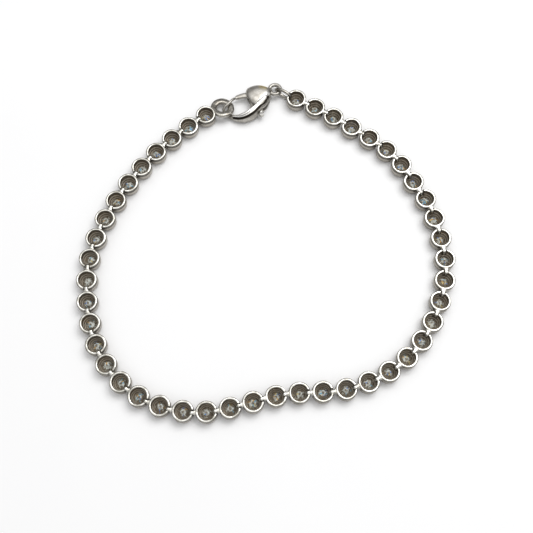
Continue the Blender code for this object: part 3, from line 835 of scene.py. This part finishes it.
class Nodes:
    """A material's node tree with short calls for the nodes used here."""

    def __init__(self, name):
        self.material = bpy.data.materials.new(name)
        self.material.use_nodes = True
        self.tree = self.material.node_tree
        self.shader = self.tree.nodes["Principled BSDF"]

    def add(self, kind, inputs=None, **values):
        node = self.tree.nodes.new(kind)
        for key, value in values.items():
            setattr(node, key, value)
        for key, value in (inputs or {}).items():
            self.feed(node.inputs[key], value)
        return node

    def feed(self, socket, value):
        if isinstance(value, bpy.types.NodeSocket):
            self.tree.links.new(value, socket)
        else:
            socket.default_value = value

    def set(self, name, value):
        self.feed(self.shader.inputs[name], value)

    def current(self, name):
        """What feeds this input of the shader so far."""
        return self.shader.inputs[name].links[0].from_socket

    def math(self, operation, first, second=0.0):
        return self.add('ShaderNodeMath', {0: first, 1: second}, operation=operation).outputs[0]

    def times(self, first, second):
        return self.math('MULTIPLY', first, second)

    def ramp(self, value, low, high, start=0.0, end=1.0):
        """Smooth step from start to end while the value goes from low to high."""
        node = self.add('ShaderNodeMapRange', {"Value": value, "From Min": low, "From Max": high,
                                               "To Min": start, "To Max": end},
                        interpolation_type='SMOOTHSTEP')
        return node.outputs["Result"]

    def band(self, value, begins, full, fades, ends):
        """1 between full and fades, 0 outside begins and ends."""
        return self.times(self.ramp(value, ends, fades), self.ramp(value, begins, full))

    def mix(self, share, first, second):
        """Of this node's sockets, inputs 6 and 7 and output 2 are the colours."""
        node = self.add('ShaderNodeMix', data_type='RGBA')
        self.feed(node.inputs["Factor"], share)
        self.feed(node.inputs[6], first)
        self.feed(node.inputs[7], second)
        return node.outputs[2]

    def noise(self, place, scale, detail, stretch=None):
        if stretch:
            place = self.add('ShaderNodeMapping', {"Vector": place, "Scale": stretch}).outputs[0]
        node = self.add('ShaderNodeTexNoise', {"Vector": place, "Scale": scale,
                                               "Detail": detail})
        return node.outputs["Fac"]

    def place(self):
        """Places in the row's frame, in millimetres."""
        source = self.add('ShaderNodeTexCoord').outputs["Object"]
        return self.add('ShaderNodeMapping', {"Vector": source,
                                              "Scale": (1 / MM,) * 3}).outputs[0]

    def attribute(self, name, output="Fac"):
        return self.add('ShaderNodeAttribute', attribute_name=name).outputs[output]

    def radius(self, place):
        """How far a place in a cup is from the cup's axis."""
        flat = self.add('ShaderNodeVectorMath', {0: place, 1: (1, 1, 0)}, operation='MULTIPLY')
        return self.add('ShaderNodeVectorMath', {0: flat.outputs[0]},
                        operation='LENGTH').outputs["Value"]

    def bump(self, height, strength, distance):
        node = self.add('ShaderNodeBump', {"Height": height, "Strength": strength,
                                           "Distance": distance})
        return node.outputs["Normal"]


def metal_nodes(name, metal):
    """Worn white gold: cloudy colour and gloss, with fine scratches."""
    light, dark, smooth, rough, scratches = metal
    nodes = Nodes(name)
    place = nodes.place()
    cloud = nodes.noise(place, scale=0.9, detail=4.0)
    fine = nodes.noise(place, scale=9.0, detail=5.0)
    streak = nodes.noise(place, scale=3.0, detail=6.0, stretch=(1.0, 7.0, 3.0))
    dents = nodes.noise(place, scale=1.8, detail=3.0)
    relief = nodes.math('ADD', nodes.times(dents, 3.0), streak)
    nodes.set("Base Color", nodes.mix(nodes.ramp(cloud, 0.35, 0.7), light, dark))
    nodes.set("Metallic", 1.0)
    nodes.set("Roughness", nodes.ramp(fine, 0.3, 0.75, smooth, rough))
    nodes.set("Normal", nodes.bump(relief, scratches, RELIEF_DEPTH * MM))
    return nodes


def metal_material(name, metal):
    return metal_nodes(name, metal).material


def cup_material():
    """Polished rims with a painted shadow under them and painted shade on their outer edge,
    rougher walls with painted shade, and a mottled painted shade in tarnish browns inside, with
    painted highlights on its steps.
    """
    nodes = metal_nodes("cup_metal", CUP_METAL)
    place = nodes.attribute("cup_place", "Vector")
    radius = nodes.radius(place)
    height = nodes.add('ShaderNodeSeparateXYZ', {0: place}).outputs["Z"]

    outline = nodes.ramp(radius, *OUTLINE_RADIUS)
    inside = nodes.times(nodes.ramp(radius, *INSIDE_RADIUS), nodes.ramp(height, *INSIDE_HEIGHT))
    wall = nodes.times(outline, nodes.ramp(height, *WALL_HEIGHT))
    edge = nodes.times(nodes.times(outline, nodes.ramp(radius, *EDGE_RADIUS)),
                       nodes.ramp(height, *EDGE_HEIGHT))
    rim_shadow = nodes.times(wall, nodes.ramp(height, *RIM_SHADOW_HEIGHT))
    step_highlight = nodes.math('ADD', nodes.band(radius, *SEAT_BAND), nodes.band(radius, *STEP_BAND))

    # Inside: painted shade of the hollow in tarnish browns, mottled at random, with painted
    # highlights on the steps.
    bloom = nodes.noise(nodes.place(), scale=2.2, detail=5.0)
    brown = nodes.mix(bloom, INSIDE_SHADE_DARK, INSIDE_SHADE_LIGHT)
    brown = nodes.mix(nodes.times(step_highlight, STEP_HIGHLIGHT_SHARE), brown, STEP_HIGHLIGHT_COLOUR)
    # Outside: painted shade on the walls and on the rim's outer edge, and a painted shadow under
    # the rim.
    shaded_outside = nodes.mix(nodes.times(wall, WALL_SHADE_SHARE), nodes.current("Base Color"), WALL_SHADE_COLOUR)
    shaded_outside = nodes.mix(nodes.times(edge, EDGE_SHADE_SHARE), shaded_outside, EDGE_SHADE_COLOUR)
    shaded_outside = nodes.mix(nodes.times(rim_shadow, RIM_SHADOW_SHARE), shaded_outside, RIM_SHADOW_COLOUR)
    rougher = nodes.math('ADD', nodes.current("Roughness"), nodes.times(wall, WALL_ROUGHNESS))
    nodes.set("Base Color", nodes.mix(inside, shaded_outside, brown))
    nodes.set("Metallic", nodes.ramp(inside, 0.0, 1.0, 1.0, INSIDE_METALLIC))
    nodes.set("Roughness", rougher)
    return nodes.material


def claw_material():
    """Satin plating with a painted highlight on the polished ridge, painted shade in the dark
    groove and a place worn to warm metal.
    """
    nodes = metal_nodes("claw_metal", CLAW_METAL)
    ridge = nodes.attribute("ridge")
    grain = nodes.noise(nodes.place(), scale=6.0, detail=4.0, stretch=(1.0, 1.0, 0.15))
    colour = nodes.mix(nodes.ramp(grain, 0.45, 0.75, 0.0, 0.5), nodes.current("Base Color"),
                       GRAIN_COLOUR)
    colour = nodes.mix(nodes.attribute("worn"), colour, WORN_COLOUR)
    # Painted highlight on the ridge and the knob's top, painted shade in the groove and the
    # knob's dished middle.
    colour = nodes.mix(ridge, colour, RIDGE_HIGHLIGHT_COLOUR)
    colour = nodes.mix(nodes.attribute("groove"), colour, GROOVE_SHADE_COLOUR)
    polished = nodes.math('ADD', nodes.current("Roughness"), nodes.times(ridge, RIDGE_GLOSS))
    nodes.set("Base Color", colour)
    nodes.set("Roughness", polished)
    return nodes.material


def stone_material():
    """Seen from the open back, all painted light: arcs of painted brown reflection, pale painted
    glints and a few with painted fire.
    """
    nodes = Nodes("stone")
    tone = nodes.attribute("tone")
    hues = nodes.add('ShaderNodeValToRGB', {"Fac": nodes.attribute("fire")})
    hues.color_ramp.interpolation = 'CONSTANT'
    set_ramp(hues.color_ramp, FIRE_COLOURS)
    place = nodes.attribute("cup_place", "Vector")
    radius = nodes.radius(place)

    # Painted glints in cells over the facets, faded outwards, with a painted lit ring round a
    # dark culet.
    cells = nodes.add('ShaderNodeTexVoronoi', {"Vector": nodes.place(), "Scale": 3.8})
    glint = nodes.add('ShaderNodeSeparateColor', {0: cells.outputs["Color"]}).outputs[0]
    share = nodes.times(nodes.ramp(tone, *TONE_STEP, UNLIT), nodes.ramp(glint, *GLINT_STEP))
    share = nodes.times(share, nodes.ramp(radius, *GLINT_FADE, UNLIT))
    lit_ring = nodes.times(nodes.band(radius, *LIT_RING), LIT_RING_SHARE)
    share = nodes.math('ADD', share, lit_ring)
    share = nodes.times(share, nodes.ramp(radius, *CULET_DOT))
    # Painted reflection: brown arcs over painted shade.
    arcs = nodes.add('ShaderNodeTexWave', {"Vector": place, "Scale": 2.6, "Distortion": 1.2,
                                           "Detail": 1.0},
                     wave_type='RINGS', rings_direction='Z').outputs["Fac"]
    brown = nodes.mix(nodes.ramp(arcs, 0.5, 0.85), STONE_SHADE, STONE_REFLECTION_BROWN)
    nodes.set("Base Color", nodes.mix(nodes.math('MINIMUM', share, 1.0), brown,
                                      hues.outputs["Color"]))
    nodes.set("Metallic", 0.2)
    nodes.set("Roughness", 0.06)
    nodes.set("Specular IOR Level", 0.9)
    return nodes.material


def floor_material():
    nodes = Nodes("pale_floor")
    soft = nodes.noise(nodes.place(), scale=0.05, detail=2.0)
    nodes.set("Base Color", nodes.mix(soft, *FLOOR_COLOURS))
    nodes.set("Roughness", 0.7)
    return nodes.material


def make_floor():
    shape = bmesh.new()
    bmesh.ops.create_grid(shape, x_segments=8, y_segments=8, size=FLOOR_HALF)
    floor = add_object("floor", mesh_from_bmesh("floor", shape))
    floor.data.materials.append(floor_material())


def area_light(name, place, size, power):
    """A soft round light that faces the origin."""
    light = bpy.data.lights.new(name, 'AREA')
    light.shape = 'DISK'
    light.size = size
    light.energy = power
    item = add_object(name, light)
    item.location = place
    item.rotation_euler = (-Vector(place)).to_track_quat('-Z', 'Y').to_euler()


def make_sky():
    """A studio dome, dim at the horizon and bright above."""
    world = bpy.data.worlds.new("studio")
    bpy.context.scene.world = world
    world.use_nodes = True
    tree = world.node_tree
    place = tree.nodes.new('ShaderNodeTexCoord')
    split = tree.nodes.new('ShaderNodeSeparateXYZ')
    ramp = tree.nodes.new('ShaderNodeValToRGB')
    set_ramp(ramp.color_ramp, SKY_COLOURS)
    background = tree.nodes["Background"]
    background.inputs["Strength"].default_value = SKY_STRENGTH
    tree.links.new(place.outputs["Generated"], split.inputs[0])
    tree.links.new(split.outputs["Z"], ramp.inputs["Fac"])
    tree.links.new(ramp.outputs["Color"], background.inputs["Color"])


def make_camera():
    data = bpy.data.cameras.new("camera")
    data.lens = CAMERA_LENS
    data.clip_start = 0.005
    data.clip_end = 5.0
    camera = add_object("camera", data)
    back = Vector((0, -math.cos(CAMERA_ELEVATION), math.sin(CAMERA_ELEVATION)))
    camera.location = (Vector(LOOK_AT) + back * CAMERA_DISTANCE) * MM
    camera.rotation_euler = (-back).to_track_quat('-Z', 'Y').to_euler()
    bpy.context.scene.camera = camera


def make_stage():
    bpy.context.scene.view_settings.view_transform = 'Standard'
    make_camera()
    make_sky()
    area_light("key", KEY_PLACE, KEY_SIZE, KEY_POWER)
    area_light("top", TOP_PLACE, TOP_SIZE, TOP_POWER)
    make_floor()


def main():
    noise.seed_set(SEED)
    make_stage()
    claw = claw_matrix()
    claw_metal = claw_material()
    matrices = cup_matrices(cup_middles(), claw @ Vector(RING_SEAT))
    make_cups(matrices, cup_material())
    make_stones(matrices, stone_material())
    make_end_ring(claw, metal_material("ring_metal", RING_METAL))
    make_claw(claw, claw_metal)
    make_lever(claw, claw_metal)
    make_jump_ring(metal_material("wire_metal", WIRE_METAL))
    dress_rivet(metal_material("pin_metal_worn", PIN_METAL))


main()
